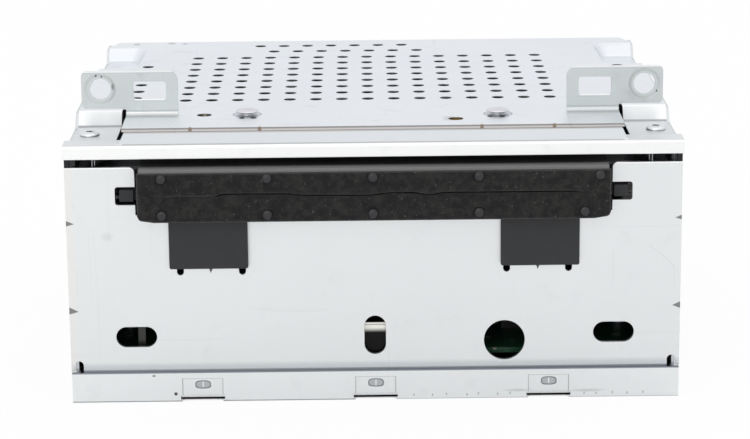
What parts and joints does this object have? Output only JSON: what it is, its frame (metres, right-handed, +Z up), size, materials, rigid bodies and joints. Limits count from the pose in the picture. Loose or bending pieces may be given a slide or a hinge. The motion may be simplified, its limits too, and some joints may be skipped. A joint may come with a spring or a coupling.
{
  "type": "car cd player",
  "caption": "In-dash car CD player body without trim: perforated steel case, two fixing ears, felt-lined disc slot and rear heat sink.",
  "frame": {"origin": "middle of the width, front face of the face plate, underside of the tray", "axes": "+X to the right seen from the front, +Y to the rear, +Z up; the disc goes in along +Y"},
  "size_m": [0.182, 0.1656, 0.097],
  "materials": {
    "cover_steel": "zinc plated, satin",
    "plate_steel": "zinc plated, satin",
    "ear_steel": "zinc plated, matt",
    "tray_steel": "zinc plated, satin",
    "screw_steel": "zinc plated",
    "bright_steel": "polished",
    "grey_plastic": "moulded, matt",
    "black_felt": "short pile",
    "black_pin": "glossy",
    "sink_aluminium": "extruded",
    "black_plastic": "moulded",
    "white_plastic": "moulded",
    "board_green": "solder mask",
    "pin_brass": "plated",
    "damper_rubber": "soft",
    "ribbon_plastic": "film"
  },
  "bodies": {
    "case": {"top_cover": "cover_steel", "front_frame": "cover_steel", "front_plate": "plate_steel", "bottom_tray": "tray_steel", "left_wall": "tray_steel", "right_wall": "tray_steel", "rear_panel": "tray_steel", "ear_left": "ear_steel", "ear_right": "ear_steel", "corner_bracket_left": "tray_steel", "corner_bracket_right": "tray_steel", "corner_screws": "screw_steel", "cover_screws": "screw_steel", "locating_studs": "bright_steel", "slot_bezel": "grey_plastic", "felt_pad": "black_felt", "felt_pins": "black_pin", "heat_sink": "sink_aluminium", "heat_sink_screws": "screw_steel", "connector_header": "black_plastic", "connector_pins": "pin_brass", "antenna_socket": "bright_steel", "main_board": "board_green", "board_posts": "pin_brass", "board_screws": "screw_steel", "board_chips": "black_plastic", "capacitors": "black_plastic", "amplifier_chip": "black_plastic", "mech_bracket_left": "tray_steel", "mech_bracket_right": "tray_steel", "mech_dampers": "damper_rubber", "deck_plate": "tray_steel", "upper_plate": "tray_steel", "disc_guide": "white_plastic", "feed_motor": "bright_steel", "spindle_motor": "bright_steel", "clamp_pivot": "bright_steel", "rod_holders": "black_plastic", "sled_rods": "bright_steel", "sled_motor": "bright_steel", "ribbon_cable": "ribbon_plastic"},
    "feed_roller": {"feed_shaft": "bright_steel", "feed_rubbers": "damper_rubber", "feed_gear": "white_plastic"},
    "feed_drive": {"feed_pinion": "white_plastic"},
    "turntable_hub": {"turntable": "black_plastic"},
    "clamp_lever": {"clamp_arm": "tray_steel"},
    "clamp_puck": {"clamp_disc": "white_plastic"},
    "pickup": {"sled": "black_plastic"},
    "pickup_screw": {"lead_screw": "bright_steel"}
  },
  "joints": [
    {"name": "feed_roller_spin", "type": "hinge", "parent": "case", "child": "feed_roller", "pos_m": [0, 0.014, 0.0595], "axis": [1, 0, 0], "continuous": true},
    {"name": "feed_pinion_spin", "type": "hinge", "parent": "case", "child": "feed_drive", "pos_m": [0.074, 0.0248, 0.0595], "axis": [1, 0, 0], "continuous": true},
    {"name": "turntable_spin", "type": "hinge", "parent": "case", "child": "turntable_hub", "pos_m": [0, 0.078, 0.06], "axis": [0, 0, 1], "continuous": true},
    {"name": "clamp_lift", "type": "hinge", "parent": "case", "child": "clamp_lever", "pos_m": [0, 0.128, 0.073], "axis": [-1, 0, 0], "range_deg": [0, 5]},
    {"name": "clamp_spin", "type": "hinge", "parent": "clamp_lever", "child": "clamp_puck", "pos_m": [0, 0.078, 0.07], "axis": [0, 0, 1], "continuous": true},
    {"name": "sled_travel", "type": "slide", "parent": "case", "child": "pickup", "axis": [1, 0, 0], "range_m": [0, 0.03]},
    {"name": "lead_screw_turn", "type": "hinge", "parent": "case", "child": "pickup_screw", "pos_m": [0.038, 0.0985, 0.0555], "axis": [1, 0, 0], "range_deg": [-20, 3640]}
  ],
  "couplings": [
    {"joint": "feed_pinion_spin", "follows": "feed_roller_spin", "ratio": -2.6667},
    {"joint": "clamp_spin", "follows": "turntable_spin", "ratio": 1},
    {"joint": "lead_screw_turn", "follows": "sled_travel", "rad_per_m": 2094.4}
  ]
}
